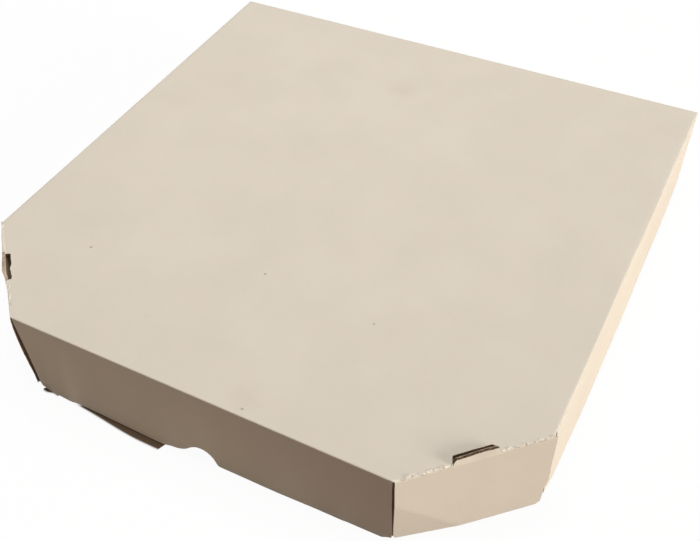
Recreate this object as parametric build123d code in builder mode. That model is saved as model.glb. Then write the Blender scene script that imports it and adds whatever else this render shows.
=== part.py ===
from build123d import *
from math import asin, degrees, hypot, sqrt
import os

# Pizza box folded from one sheet of thin board. Millimetres, +Z up, the front faces -Y.
# The origin is on the table, under the middle of the lid.

# Sheet and folds
board = 1.5
crease_radius = 1.0
fold_radius = 1.8
crease_gap = 0.1

# Outside of the closed box
lid_width = 305.0
lid_depth = 305.0
box_height = 50.0
bevel_leg = 50.4

# Hanging flaps of the lid
skirt_gap = 0.8
floor_gap = 1.0
corner_gap = 0.8
side_flap_front_gap = 3.5
side_flap_back_gap = 0.3
bevel_overhang = 1.6
bevel_step_height = 12.0
bevel_step_slope = 3.5
flap_clip_length = 5.0
flap_clip_height = 1.6

# Thumb notch in the front flap
notch_width = 25.0
notch_depth = 9.0
notch_shoulder = 3.0

# Vent slots in the lid, and the tabs that fold out of them
vent_width = 21.5
vent_narrowing = 1.5
vent_round = 0.9
vent_clearance = 0.4
vent_tip_gap = 0.3
tab_height = 3.85
tab_root = 3.0

# Tray
lid_seat_gap = 0.3
ear_length = 38.0
glue_tab_length = 34.0
tray_vent_width = 27.0
tray_vent_depth = 11.0
tray_vent_round = 3.0
finger_hole_radius = 11.5

# Places worked out from the sizes above
half_width = lid_width / 2
half_depth = lid_depth / 2
mitre_shift = crease_gap / sqrt(2)
hinge_inset = crease_radius * (1 - sqrt(0.5))
mitre_angle = 45 - degrees(asin(crease_gap / (2 * crease_radius)))
lid_block = board + crease_radius
bevel_length = bevel_leg * sqrt(2)
flap_drop = box_height - floor_gap
skirt = board + skirt_gap
tray_half = half_width - skirt
tray_front = skirt - half_depth
tray_back = half_depth
tray_leg = bevel_leg - skirt * (2 - sqrt(2))
tray_corner_x = tray_half - tray_leg
tray_corner_y = tray_front + tray_leg
wall_top = box_height - board - lid_seat_gap
tab_reach = hypot(tab_height + hinge_inset, board - hinge_inset)
vent_depth = hinge_inset + tab_reach + vent_tip_gap

lid_outline = [
    (-half_width, half_depth),
    (-half_width, bevel_leg - half_depth),
    (bevel_leg - half_width, -half_depth),
    (half_width - bevel_leg, -half_depth),
    (half_width, bevel_leg - half_depth),
    (half_width, half_depth),
]

# Directions of the right-hand bevel: along the crease from front to back, and outwards
bevel_along = Vector(1, 1, 0).normalized()
bevel_out = Vector(1, -1, 0).normalized()
bevel_start = Vector(half_width - bevel_leg, -half_depth, box_height)


def fold_profile(drop):
    """Section of a panel that hangs from a fold: the corner of the fold is (0, 0), x points outwards."""
    with BuildSketch() as profile:
        with BuildLine():
            round_over = CenterArc((-crease_radius, -crease_radius), crease_radius, 0, mitre_angle)
            Polyline(
                round_over @ 1,
                (-board, -board - mitre_shift),
                (-board, -drop),
                (0, -drop),
                round_over @ 0,
            )
        make_face()
    return profile.sketch


def bottom_fold_profile():
    """Section of the fold between the base and a wall: the outer corner is (0, 0), x points outwards."""
    inner_radius = fold_radius - board
    with BuildSketch() as profile:
        with BuildLine():
            outer = CenterArc((-fold_radius, fold_radius), fold_radius, 270, 90)
            inner = CenterArc((-fold_radius, fold_radius), inner_radius, 270, 90)
            Line(outer @ 0, inner @ 0)
            Line(outer @ 1, inner @ 1)
        make_face()
    return profile.sketch


def strip_plan(*corners):
    """Plan of an upright strip of board, bent at its corners, with its outer face on the line given."""
    with BuildSketch() as plan:
        with BuildLine():
            FilletPolyline(*corners, radius=fold_radius)
            offset(amount=board, side=Side.LEFT)
        make_face()
    return plan.sketch


# Tray: base, four upright walls, the two bevelled corners and the tabs that hold them
with BuildPart() as tray:
    with BuildSketch():
        Polygon(
            (-tray_corner_x - fold_radius, tray_front + fold_radius),
            (tray_corner_x + fold_radius, tray_front + fold_radius),
            (tray_half - fold_radius, tray_corner_y - fold_radius),
            (tray_half - fold_radius, tray_back - fold_radius),
            (fold_radius - tray_half, tray_back - fold_radius),
            (fold_radius - tray_half, tray_corner_y - fold_radius),
            align=None,
        )
    extrude(amount=board)

    # Folds between the base and the front, back and side walls
    with BuildSketch(Plane((tray_corner_x, tray_front, 0), x_dir=(0, -1, 0), z_dir=(-1, 0, 0))):
        add(bottom_fold_profile())
    extrude(amount=2 * tray_corner_x)
    back_fold_half = tray_half - fold_radius
    with BuildSketch(Plane((-back_fold_half, tray_back, 0), x_dir=(0, 1, 0), z_dir=(1, 0, 0))):
        add(bottom_fold_profile())
    extrude(amount=2 * back_fold_half)
    for side in (1, -1):
        fold_corner = (side * tray_half, tray_corner_y, 0)
        with BuildSketch(Plane(fold_corner, x_dir=(side, 0, 0), z_dir=(0, -side, 0))):
            add(bottom_fold_profile())
        extrude(amount=-side * (tray_back - fold_radius - tray_corner_y))

    # Back wall, up to the fold that carries the lid
    with BuildSketch(Plane((-back_fold_half, tray_back, box_height), x_dir=(0, 1, 0), z_dir=(1, 0, 0))):
        add(fold_profile(box_height - fold_radius))
    extrude(amount=2 * back_fold_half)

    # Front wall with its bevelled ends and the glue tabs inside the side walls
    glue_face = tray_half - board
    glue_bend = tray_corner_y - board
    with BuildSketch(Plane.XY.offset(fold_radius)):
        add(
            strip_plan(
                (-glue_face, glue_bend + glue_tab_length),
                (-glue_face, glue_bend),
                (-tray_corner_x, tray_front),
                (tray_corner_x, tray_front),
                (glue_face, glue_bend),
                (glue_face, glue_bend + glue_tab_length),
            )
        )
    extrude(amount=wall_top - fold_radius)

    # Side walls, each with an ear turned in behind the back wall
    ear_face = tray_back - board
    with BuildSketch(Plane.XY.offset(fold_radius)):
        add(
            strip_plan(
                (tray_half, tray_corner_y),
                (tray_half, ear_face),
                (tray_half - ear_length, ear_face),
            )
        )
        add(
            strip_plan(
                (ear_length - tray_half, ear_face),
                (-tray_half, ear_face),
                (-tray_half, tray_corner_y),
            )
        )
    extrude(amount=wall_top - fold_radius)

    # Vent openings in the bevelled walls, under the slots of the lid
    for side in (1, -1):
        vent_middle = (side * (tray_half - tray_leg / 2), tray_front + tray_leg / 2, wall_top)
        with BuildSketch(Plane(vent_middle, x_dir=(1, side, 0), z_dir=(side, -1, 0))):
            RectangleRounded(tray_vent_width, 2 * tray_vent_depth, tray_vent_round)
        extrude(amount=2 * board, both=True, mode=Mode.SUBTRACT)

    # Finger hole across the front bottom fold, behind the thumb notch
    with BuildSketch(Plane((0, tray_front, 0), x_dir=(1, 0, 0), z_dir=(0, -1, 0))):
        Circle(finger_hole_radius)
    extrude(amount=fold_radius, both=True, mode=Mode.SUBTRACT)
    with BuildSketch(Plane((0, tray_front, 0))):
        Circle(finger_hole_radius)
    extrude(amount=fold_radius, both=True, mode=Mode.SUBTRACT)

# Lid: one flat panel, rounded over and mitred where the flaps and the back wall fold from it
with BuildPart() as lid:
    with BuildSketch(Plane.XY.offset(box_height - lid_block)):
        Polygon(*lid_outline, align=None)
    extrude(amount=lid_block)
    fillet(lid.faces().sort_by(Axis.Z)[-1].edges(), radius=crease_radius)
    with BuildSketch(Plane.XY.offset(box_height)):
        Polygon(*lid_outline, align=None)
        offset(amount=-mitre_shift, kind=Kind.INTERSECTION)
    extrude(amount=-board, taper=45, mode=Mode.INTERSECT)

    # Vent slots, open to the bevelled creases
    slot_half = vent_width / 2 + vent_clearance
    slot_end = slot_half - vent_narrowing
    for side in (1, -1):
        crease_middle = (side * (half_width - bevel_leg / 2), bevel_leg / 2 - half_depth, box_height)
        with BuildSketch(Plane(crease_middle, x_dir=(side, -1, 0), z_dir=(0, 0, 1))) as slot:
            Polygon(
                (vent_depth, -slot_half),
                (vent_depth, slot_half),
                (-board, slot_half),
                (-vent_depth, slot_end),
                (-vent_depth, -slot_end),
                (-board, -slot_half),
                align=None,
            )
            fillet(slot.vertices().sort_by(Axis((0, 0, 0), (side, -1, 0)))[:2], radius=vent_round)
        extrude(amount=2 * board, both=True, mode=Mode.SUBTRACT)

# Front flap, with the thumb notch in its lower edge
front_half = half_width - bevel_leg - corner_gap
with BuildPart() as front_flap:
    with BuildSketch(Plane((front_half, -half_depth, box_height), x_dir=(0, -1, 0), z_dir=(-1, 0, 0))):
        add(fold_profile(flap_drop))
    extrude(amount=2 * front_half)
    with BuildSketch(Plane((0, -half_depth, floor_gap), x_dir=(1, 0, 0), z_dir=(0, -1, 0))) as notch:
        with BuildLine():
            crown = ThreePointArc((-notch_width / 2, 0), (0, notch_depth), (notch_width / 2, 0))
            Polyline(
                crown @ 1,
                (notch_width / 2, -notch_depth),
                (-notch_width / 2, -notch_depth),
                crown @ 0,
            )
        make_face()
    extrude(amount=2 * board, both=True, mode=Mode.SUBTRACT)
    shoulders = front_flap.edges().filter_by(Axis.Y).filter_by(
        lambda edge: abs(abs(edge.center().X) - notch_width / 2) < board
    )
    fillet(shoulders, radius=notch_shoulder)
    with BuildSketch(Plane((0, -half_depth, floor_gap), x_dir=(1, 0, 0), z_dir=(0, -1, 0))):
        for side in (1, -1):
            Polygon(
                (side * front_half, flap_clip_height),
                (side * (front_half - flap_clip_length), 0),
                (side * front_half, -flap_clip_height),
                align=None,
            )
    extrude(amount=2 * board, both=True, mode=Mode.SUBTRACT)

# Bevel flaps, each with the tab that stands up through its vent slot
with BuildPart() as bevel_flap_right:
    far_end = bevel_length + bevel_overhang
    with BuildSketch(Plane(bevel_start + bevel_along * far_end, x_dir=bevel_out, z_dir=-bevel_along)):
        add(fold_profile(flap_drop))
    extrude(amount=far_end - corner_gap)
    with BuildSketch(Plane(bevel_start, x_dir=bevel_along, z_dir=bevel_out)):
        Polygon(
            (bevel_length, -box_height),
            (bevel_length, bevel_step_height - box_height),
            (far_end, bevel_step_height + bevel_step_slope - box_height),
            (far_end + board, bevel_step_height + bevel_step_slope - box_height),
            (far_end + board, -box_height),
            align=None,
        )
    extrude(amount=2 * board, both=True, mode=Mode.SUBTRACT)
    with BuildSketch(Plane(bevel_start, x_dir=bevel_along, z_dir=bevel_out)) as tab:
        tab_half = vent_width / 2
        Polygon(
            (bevel_length / 2 - tab_half, -tab_root),
            (bevel_length / 2 + tab_half, -tab_root),
            (bevel_length / 2 + tab_half, 0),
            (bevel_length / 2 + tab_half - vent_narrowing, tab_height),
            (bevel_length / 2 - tab_half + vent_narrowing, tab_height),
            (bevel_length / 2 - tab_half, 0),
            align=None,
        )
        fillet(tab.vertices().sort_by(Axis.Z)[-2:], radius=vent_round)
    extrude(amount=-board)

with BuildPart() as bevel_flap_left:
    mirror(bevel_flap_right.part, about=Plane.YZ)

# Side flaps, which hang outside the side walls
side_start = bevel_leg - half_depth + side_flap_front_gap
side_end = half_depth - side_flap_back_gap
with BuildPart() as side_flap_right:
    with BuildSketch(Plane((half_width, side_end, box_height), x_dir=(1, 0, 0), z_dir=(0, -1, 0))):
        add(fold_profile(flap_drop))
    extrude(amount=side_end - side_start)

with BuildPart() as side_flap_left:
    mirror(side_flap_right.part, about=Plane.YZ)

os.makedirs("parts", exist_ok=True)
pieces = {
    "tray": tray,
    "lid": lid,
    "front_flap": front_flap,
    "bevel_flap_left": bevel_flap_left,
    "bevel_flap_right": bevel_flap_right,
    "side_flap_left": side_flap_left,
    "side_flap_right": side_flap_right,
}
for name, piece in pieces.items():
    piece.part.label = name
    export_step(piece.part, f"parts/{name}.step")
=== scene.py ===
import math

import bpy
import numpy as np
from bpy.props import FloatProperty, FloatVectorProperty, IntProperty, PointerProperty
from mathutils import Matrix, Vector, geometry, noise


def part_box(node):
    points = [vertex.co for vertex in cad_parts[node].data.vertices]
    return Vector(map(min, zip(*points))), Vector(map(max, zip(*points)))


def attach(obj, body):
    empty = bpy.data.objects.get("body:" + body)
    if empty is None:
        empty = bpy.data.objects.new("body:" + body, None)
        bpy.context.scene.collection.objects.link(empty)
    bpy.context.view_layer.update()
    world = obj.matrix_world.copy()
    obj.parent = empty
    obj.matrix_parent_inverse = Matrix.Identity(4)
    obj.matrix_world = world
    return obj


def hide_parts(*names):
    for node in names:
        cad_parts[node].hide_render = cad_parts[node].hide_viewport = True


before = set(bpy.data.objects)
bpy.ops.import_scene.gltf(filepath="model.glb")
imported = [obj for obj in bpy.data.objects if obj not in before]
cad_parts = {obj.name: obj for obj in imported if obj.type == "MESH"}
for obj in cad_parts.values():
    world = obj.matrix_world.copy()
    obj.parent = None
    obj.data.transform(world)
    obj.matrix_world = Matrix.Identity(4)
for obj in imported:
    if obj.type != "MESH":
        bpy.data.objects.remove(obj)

bl_info = {
    "name": "Pizza box",
    "version": (1, 0, 0),
    "blender": (4, 5, 0),
    "location": "View3D > Sidebar > Pizza box",
    "description": "Folded board pizza box with vent tabs, fluted cut edges and torn creases",
    "category": "Object",
}

MM = 0.001

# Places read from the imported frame
HALF_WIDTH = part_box("side_flap_right")[1].x
HALF_DEPTH = -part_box("front_flap")[0].y
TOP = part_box("lid")[1].z
FRONT_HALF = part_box("front_flap")[1].x
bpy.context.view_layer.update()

UP = Vector((0, 0, 1))
ROOT_TWO = math.sqrt(2)
HALF_ROOT = math.sqrt(0.5)

# Edges of a panel that bend by more than this stay sharp
SHARP_FROM = math.radians(38)

# The hollow behind a cut reaches this much further in at a corner than beside it, at most
LONGEST_CORNER = 1.6

# Where the wavy paper has its middle line, as a share of the depth of the hollow
WAVE_LINE = 0.52

# Rows of points beside a fold: just past its rounding, and further in on the lid and on a flap
PAST_ROUNDING = 0.12 * MM
LID_ROWS = (1.7 * MM, 3.2 * MM)
FLAP_ROWS = (1.6 * MM, 3.2 * MM)

# Lean of the lower edge of each flap, outwards, in mm: (place along the fold, lean)
RIGHT_SIDE_LEAN = (
    (-99, 0.8), (-94, 1.2), (-88, 1.65), (-75, 1.95), (-59, 2.2), (-42, 2.4), (-6, 2.4), (34, 2.25),
    (55, 2.0), (77, 1.85), (100, 1.8), (125, 1.4), (140, 1.0), (153, 0.6),
)
LEFT_SIDE_LEAN = ((-153, 0.5), (-120, 0.9), (-60, 1.6), (-10, 1.4), (45, 1.8), (85, 1.3), (99, 0.6))
FRONT_LEAN = (
    (-102, 1.8), (-94, 1.9), (-90, 2.75), (-85, 2.7), (-78, 3.0), (-75, 2.6), (-70, 2.25), (-62, 2.4),
    (-50, 2.7), (-38, 2.95), (-28, 3.15), (-20, 3.15), (0, 2.5), (12, 1.95), (24, 1.8), (34, 1.77),
    (43, 1.69), (50, 1.47), (56, 1.28), (65, 1.01), (75, 0.83), (82, 0.5), (88, 0.39), (94, 0.28),
    (102, 0.0),
)
RIGHT_BEVEL_LEAN = ((0, 2.0), (31, 1.85), (40, 1.95), (49, 2.1), (62, 2.35), (73, 2.3))
LEFT_BEVEL_LEAN = ((0, -0.2), (20, 0.4), (45, 0.6), (73, 0.8))

# Bow of a flap beside its front end, in mm: (drop below the fold, bow)
LEFT_BEVEL_BOW = ((0, 0.0), (4, 0.45), (9, 0.8), (17, 1.0), (24, 0.95), (34, 0.55), (42, 0.1), (50, 0.1))

# Bend across the lower front corner of the right corner flap, in mm: where it meets the front end
# (height) and the lower edge (place along the fold), and how steeply the corner is bent in
BEVEL_BEND = (31.4, 32.6, 0.16)

# Outward bow of the cut corners' creases, pulled by the tab, in mm: (place along the crease, bow)
CREASE_BOWS = {
    1: ((0, 0.0), (71, 0.0)),
    -1: ((18, 0.0), (25, 0.4), (33, 1.1), (46, 0.9), (58, 0.6), (70, 0.0)),
}


def length_property(name, description, millimetres):
    """A length that a user can change."""
    return FloatProperty(name=name, description=description, default=millimetres * MM, unit="LENGTH")


def colour_property(name, description, value):
    """A colour that a user can change."""
    return FloatVectorProperty(name=name, description=description, subtype="COLOR", size=3, default=value)


class SheetSizes(bpy.types.PropertyGroup):
    """Sizes of the board and of what is folded from it."""

    board: length_property("Board", "Thickness of the board", 1.5)
    liner: length_property("Liner", "Thickness of each paper liner", 0.24)
    fold_radius: length_property("Fold radius", "Outer radius of a fold", 0.55)
    mitre_gap: length_property("Mitre gap", "Room left at the inside of a fold", 0.015)
    bevel_leg: length_property("Corner leg", "Length cut from each side at a front corner", 50.4)
    bevel_overhang: length_property("Overhang", "How far a corner flap passes the corner", 1.6)
    flap_foot: length_property("Flap foot", "Height of the lower edges above the table", 1.0)
    mesh_step: length_property("Mesh step", "Distance between points on a panel", 4.0)


class FluteSizes(bpy.types.PropertyGroup):
    """Sizes of the wavy paper that shows in the cut edges."""

    pitch: length_property("Pitch", "Length of one flute", 3.3)
    depth: length_property("Depth", "How far the wave lies behind the liners", 0.9)
    paper: length_property("Paper", "Thickness of the wavy paper", 0.16)
    sample: length_property("Sample", "Length of one straight piece of the wave", 0.42)


class CreaseSizes(bpy.types.PropertyGroup):
    """Torn flecks of liner that stand along the creases of the cut corners."""

    spacing: length_property("Spacing", "Distance between flecks", 2.3)
    length: length_property("Length", "Length of a fleck", 3.2)
    width: length_property("Width", "Width of a fleck", 1.7)
    height: length_property("Height", "Height of a fleck", 0.42)
    seed: IntProperty(name="Seed", description="Seed of the random sizes", default=7)


class PaperColours(bpy.types.PropertyGroup):
    """Colours of the papers, with painted shade in the hollows and the flutes, and a painted glow inside."""

    outer: colour_property("Outer liner", "Bleached outer paper", (0.69, 0.632, 0.54))
    inner: colour_property("Inner liner", "Unbleached inner paper", (0.42, 0.345, 0.265))
    cut: colour_property("Cut edge", "Cut edge of the liners", (0.45, 0.365, 0.275))
    # Painted shade: the hollows are coloured dark for the shade inside the board
    core: colour_property("Hollows", "Inside of the board, behind the flutes", (0.12, 0.084, 0.058))
    # Painted shade: the wavy paper is kraft brown, made darker for the shade in the cut edges
    wave: colour_property("Flutes", "Wavy paper inside the board", (0.24, 0.185, 0.135))
    # Painted glow: a faint emission on the inner liner, the hollows, the flutes and the inside of the tray,
    # standing in for light that would reach into the board and the closed box
    through: colour_property("Light inside", "Faint light in the closed box", (0.017, 0.0105, 0.006))
    torn: colour_property("Torn paper", "Torn fibres of the outer liner", (0.80, 0.74, 0.64))


class StageSizes(bpy.types.PropertyGroup):
    """Light, floor and camera."""

    key_strength: FloatProperty(name="Key light", description="Strength of the key light", default=4.66)
    key_colour: colour_property("Key colour", "Colour of the key light", (1.0, 0.963, 0.886))
    key_spread: FloatProperty(
        name="Key spread", description="Angle over which the key light is spread", default=math.radians(34),
        subtype="ANGLE",
    )
    top_power: FloatProperty(name="Top light", description="Watts of the soft box above", default=10.9)
    top_colour: colour_property("Top colour", "Colour of the soft box above", (0.985, 0.985, 1.0))
    top_width: length_property("Top width", "Width of the soft box above", 700)
    sky: colour_property("Sky", "Light from all round", (0.15, 0.133, 0.115))
    bounce: colour_property("Bounce", "Colour of the table as it lights the box", (0.350, 0.232, 0.147))
    lens: FloatProperty(name="Lens", description="Focal length in millimetres", default=46.30)


def smooth(low, high, value):
    """0 below low, 1 above high, smooth between them."""
    t = min(max((value - low) / (high - low), 0.0), 1.0)
    return t * t * (3 - 2 * t)


def follow(table, place):
    """Value at a place, run smoothly through a short table of (place, value)."""
    if place <= table[0][0]:
        return table[0][1]
    for (a, va), (b, vb) in zip(table, table[1:]):
        if place <= b:
            return va + (vb - va) * smooth(a, b, place)
    return table[-1][1]


def dense(points, step):
    """The same open line with no piece longer than step."""
    line = [Vector(points[0])]
    for a, b in zip(points, points[1:]):
        a, b = Vector(a), Vector(b)
        count = max(1, math.ceil((b - a).length / step))
        line += [a.lerp(b, (i + 1) / count) for i in range(count)]
    return line


class Rim:
    """Closed anticlockwise outline of a panel, made of runs that are either cut or folded."""

    def __init__(self):
        self.points = []
        self.cut = []

    def run(self, points, step, cut, flute=0.0):
        """Adds a run. flute is the length of one wave seen in its cut edge, in units of the pitch."""
        line = dense(points, step)[:-1]
        self.points += line
        self.cut += [flute if cut else None] * len(line)

    def inward(self, i):
        """Direction into the panel at a point, from the cut sides that meet there."""
        n = len(self.points)
        total = Vector((0, 0))
        for k in (i - 1, i):
            if self.cut[k % n] is None:
                continue
            d = (self.points[(k + 1) % n] - self.points[k % n]).normalized()
            total += Vector((-d.y, d.x))
        if total.length < 1e-6:
            return Vector((0, 0))
        unit = total.normalized()
        sides = sum(self.cut[k % n] is not None for k in (i - 1, i))
        return unit * min(sides / total.length, LONGEST_CORNER)

    def inside(self, step, spare):
        """Points of a staggered grid that lie inside, clear of the outline."""
        row_gap, batch = 0.866 * step, 500
        outline = np.array([list(p) for p in self.points])
        low, high = outline.min(0), outline.max(0)
        rows = []
        for j, y in enumerate(np.arange(low[1] + step / 2, high[1], row_gap)):
            xs = np.arange(low[0] + step * (0.25 + 0.5 * (j % 2)), high[0], step)
            rows.append(np.stack([xs, np.full(len(xs), y)], 1))
        grid = np.concatenate(rows)
        a, b = outline, np.roll(outline, -1, 0)
        side = b - a
        length = (side ** 2).sum(1)
        kept = []
        for chunk in np.array_split(grid, max(1, len(grid) // batch)):
            to = chunk[:, None, :] - a[None]
            t = np.clip((to * side).sum(2) / length, 0, 1)
            gap = np.sqrt(((to - t[..., None] * side) ** 2).sum(2)).min(1)
            y, x = chunk[:, 1, None], chunk[:, 0, None]
            crosses = (a[:, 1] > y) != (b[:, 1] > y)
            with np.errstate(divide="ignore", invalid="ignore"):
                at = a[:, 0] + (y - a[:, 1]) / (b[:, 1] - a[:, 1]) * (b[:, 0] - a[:, 0])
            within = (crosses & (x < at)).sum(1) % 2 == 1
            kept.append(chunk[within & (gap > spare)])
        return [Vector(p) for p in np.concatenate(kept)]


class Board:
    """Gathers the faces of one or more panels of board into one mesh."""

    def __init__(self, context):
        self.sheet = context.scene.pizza_sheet
        self.flute = context.scene.pizza_flutes
        self.verts = []
        self.faces = []
        self.papers = []
        self.edges = []

    def vertex(self, point):
        """Adds a point and gives its number."""
        self.verts.append(tuple(point))
        return len(self.verts) - 1

    def face(self, ids, paper):
        """Adds a face made of one paper."""
        self.faces.append(ids)
        self.papers.append(paper)

    def panel(self, rim, place, extra):
        """Adds a closed panel. place(a, b, t) gives the point in space, t from 0 outside to 1 inside."""
        n = len(rim.points)
        step = self.sheet.mesh_step
        clear = 0.7 * step
        flat = rim.points + extra + rim.inside(step, clear)
        made = geometry.delaunay_2d_cdt(flat, [], [list(range(n))], 1, 1e-7)
        corners, triangles, origin = made[0], made[2], made[3]
        outer = [self.vertex(place(c.x, c.y, 0.0)) for c in corners]
        inner = [self.vertex(place(c.x, c.y, 1.0)) for c in corners]
        at = {source: out for out, sources in enumerate(origin) for source in sources}
        for t in triangles:
            a, b, c = (corners[i] for i in t)
            t = list(t) if (b - a).cross(c - a) > 0 else list(t)[::-1]
            self.face([outer[i] for i in t], OUTER)
            self.face([inner[i] for i in reversed(t)], INNER)
        first = self.sheet.liner / self.sheet.board
        profiles = []
        for i, p in enumerate(rim.points):
            ends = [outer[at[i]], inner[at[i]]]
            way = rim.inward(i)
            if way.length > 0:
                q = p + way * self.flute.depth
                steps = [(p, first), (q, first), (q, 1 - first), (p, 1 - first)]
                ends[1:1] = [self.vertex(place(c.x, c.y, t)) for c, t in steps]
            profiles.append(ends)
        for i in range(n):
            a, b = profiles[i], profiles[(i + 1) % n]
            if rim.cut[i] is None:
                self.face(a + b[::-1], CUT)
                continue
            for k, paper in enumerate((CUT, CORE, CORE, CORE, CUT)):
                self.face([a[k], a[k + 1], b[k + 1], b[k]], paper)
        self.waves(rim, place)

    def waves(self, rim, place):
        """Keeps, for each cut run, the line on which its flutes are made."""
        n = len(rim.points)
        run = []
        for i in range(n + 1):
            wave = rim.cut[i % n] if i < n else None
            if i < n and (not run or wave == run[0][2]) and wave is not None:
                run.append((i, (i + 1) % n, wave))
                continue
            if run:
                self.edges.append(self.wave_line(rim, place, run))
            run = [(i, (i + 1) % n, wave)] if i < n and wave is not None else []

    def wave_line(self, rim, place, run):
        """Points of one wave line, each with its direction across the board and into it."""
        ids = [r[0] for r in run] + [run[-1][1]]
        line = []
        for i in ids:
            p = rim.points[i]
            way = rim.inward(i)
            if way.length == 0:
                way = Vector((1, 0))
            q = p + way * self.flute.depth * WAVE_LINE
            middle = place(q.x, q.y, 0.5)
            across = (place(q.x, q.y, 1.0) - place(q.x, q.y, 0.0)).normalized()
            deep = (place(p.x + way.x * MM, p.y + way.y * MM, 0.5) - place(p.x, p.y, 0.5)).normalized()
            line.append((middle, across, deep))
        return line, run[0][2]

    def make(self, name, body, node):
        """Makes the finished object, riding on a body in place of a node."""
        mesh = bpy.data.meshes.new(name)
        mesh.from_pydata(self.verts, [], self.faces)
        mesh.update()
        for paper in (OUTER, INNER, CUT, CORE):
            mesh.materials.append(finish(paper))
        mesh.polygons.foreach_set("material_index", [PAPERS.index(p) for p in self.papers])
        mesh.shade_smooth()
        mesh.set_sharp_from_angle(angle=SHARP_FROM)
        piece = bpy.data.objects.new(name, mesh)
        bpy.context.scene.collection.objects.link(piece)
        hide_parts(node)
        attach(piece, body)


OUTER, INNER, CUT, CORE = "outer_liner", "inner_liner", "cut_liner", "hollow_core"
WAVE, TORN, SLIT = "flute_paper", "torn_liner", "break_shade"
PAPERS = (OUTER, INNER, CUT, CORE)


class Wire:
    """A socket with which sums can be written."""

    def __init__(self, shader, socket):
        self.shader = shader
        self.socket = socket

    def sum(self, operation, *values):
        """One Math node."""
        made = self.shader.node("ShaderNodeMath", {"operation": operation}, dict(enumerate(values)))
        return Wire(self.shader, made.outputs[0])

    def __add__(self, other):
        return self.sum("ADD", self, other)

    def __radd__(self, other):
        return self.sum("ADD", other, self)

    def __sub__(self, other):
        return self.sum("SUBTRACT", self, other)

    def __rsub__(self, other):
        return self.sum("SUBTRACT", other, self)

    def __mul__(self, other):
        return self.sum("MULTIPLY", self, other)

    def __rmul__(self, other):
        return self.sum("MULTIPLY", other, self)

    def over(self, low, high):
        """0 below low, 1 above high, smooth between them."""
        values = {0: self, 1: low, 2: high, 3: 0.0, 4: 1.0}
        made = self.shader.node("ShaderNodeMapRange", {"interpolation_type": "SMOOTHSTEP"}, values)
        return Wire(self.shader, made.outputs[0])

    def most(self, other):
        """The greater of two values."""
        return self.sum("MAXIMUM", self, other)

    def least(self, other):
        """The smaller of two values."""
        return self.sum("MINIMUM", self, other)

    def size(self):
        """The value without its sign."""
        return self.sum("ABSOLUTE", self)


class Shader:
    """A material, written node by node."""

    def __init__(self, tree):
        self.tree = tree
        tree.nodes.clear()
        self.spot = Wire(self, self.node("ShaderNodeTexCoord").outputs["Object"])

    def node(self, kind, settings=None, values=None):
        """Any node: its settings first, then the values or links of its sockets."""
        made = self.tree.nodes.new(kind)
        for key, value in (settings or {}).items():
            setattr(made, key, value)
        for key, value in (values or {}).items():
            if isinstance(value, Wire):
                self.tree.links.new(value.socket, made.inputs[key])
            elif value is not None:
                made.inputs[key].default_value = value
        return made

    def noise(self, scale, detail=2.0, rough=0.5, stretch=(1, 1, 1), shift=(0, 0, 0)):
        """Noise from 0 to 1 at so many lumps a metre."""
        values = {"Vector": self.spot, "Location": shift, "Scale": stretch}
        moved = Wire(self, self.node("ShaderNodeMapping", None, values).outputs[0])
        values = {"Vector": moved, "Scale": scale, "Detail": detail, "Roughness": rough}
        made = self.node("ShaderNodeTexNoise", {"noise_dimensions": "3D"}, values)
        return Wire(self, made.outputs["Fac"])

    def near(self, place, size, ragged=None):
        """1 at a place, falling to 0 at a distance of size."""
        gap = self.node("ShaderNodeVectorMath", {"operation": "DISTANCE"}, {0: self.spot, 1: place})
        far = Wire(self, gap.outputs["Value"])
        if ragged is not None:
            far = far + ragged
        return 1 - far.over(0.0, size)

    def parts(self, wire):
        """The three numbers of a vector."""
        made = self.node("ShaderNodeSeparateXYZ", None, {0: wire})
        return [Wire(self, made.outputs[i]) for i in range(3)]

    def tint(self, amount, low, high):
        """A colour between two colours."""
        low, high = (c if isinstance(c, Wire) else (*c, 1) for c in (low, high))
        made = self.node("ShaderNodeMix", {"data_type": "RGBA"}, {"Factor": amount, 6: low, 7: high})
        return Wire(self, made.outputs[2])

    def bump(self, height, strength, distance, under=None):
        """A normal raised by a height, on top of another one."""
        values = {"Height": height, "Strength": strength, "Distance": distance, "Normal": under}
        return Wire(self, self.node("ShaderNodeBump", None, values).outputs[0])

    def paper(self, colour, roughness, normal, painted_glow=None):
        """Ends the material in one paper surface. painted_glow is painted light: an emission that stands in
        for light seeping through the board.
        """
        values = {"Base Color": colour, "Roughness": roughness, "Normal": normal, "Specular IOR Level": 0.25}
        if painted_glow is not None:
            painted_glow = painted_glow if isinstance(painted_glow, Wire) else (*painted_glow, 1)
            values.update({"Emission Color": painted_glow, "Emission Strength": 1.0})
        body = self.node("ShaderNodeBsdfPrincipled", None, values)
        self.node("ShaderNodeOutputMaterial", None, {"Surface": Wire(self, body.outputs[0])})


def shade(base, factor):
    """A colour made darker or paler, by one factor or by one for each channel."""
    factors = factor if isinstance(factor, tuple) else (factor,) * 3
    return tuple(min(c * f, 1.0) for c, f in zip(base, factors))


def finish(paper):
    """The material of one paper, drawn the first time that it is asked for."""
    if paper in bpy.data.materials:
        return bpy.data.materials[paper]
    made = bpy.data.materials.new(paper)
    made.use_nodes = True
    PAINTERS[paper](Shader(made.node_tree), bpy.context.scene.pizza_colours)
    return made


def past_corner(x, y, leg):
    """How far a place lies outside the crease of the cut corner on its side of the box."""
    return (x.size() - y) * HALF_ROOT - (HALF_WIDTH + HALF_DEPTH - leg) * HALF_ROOT


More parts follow.
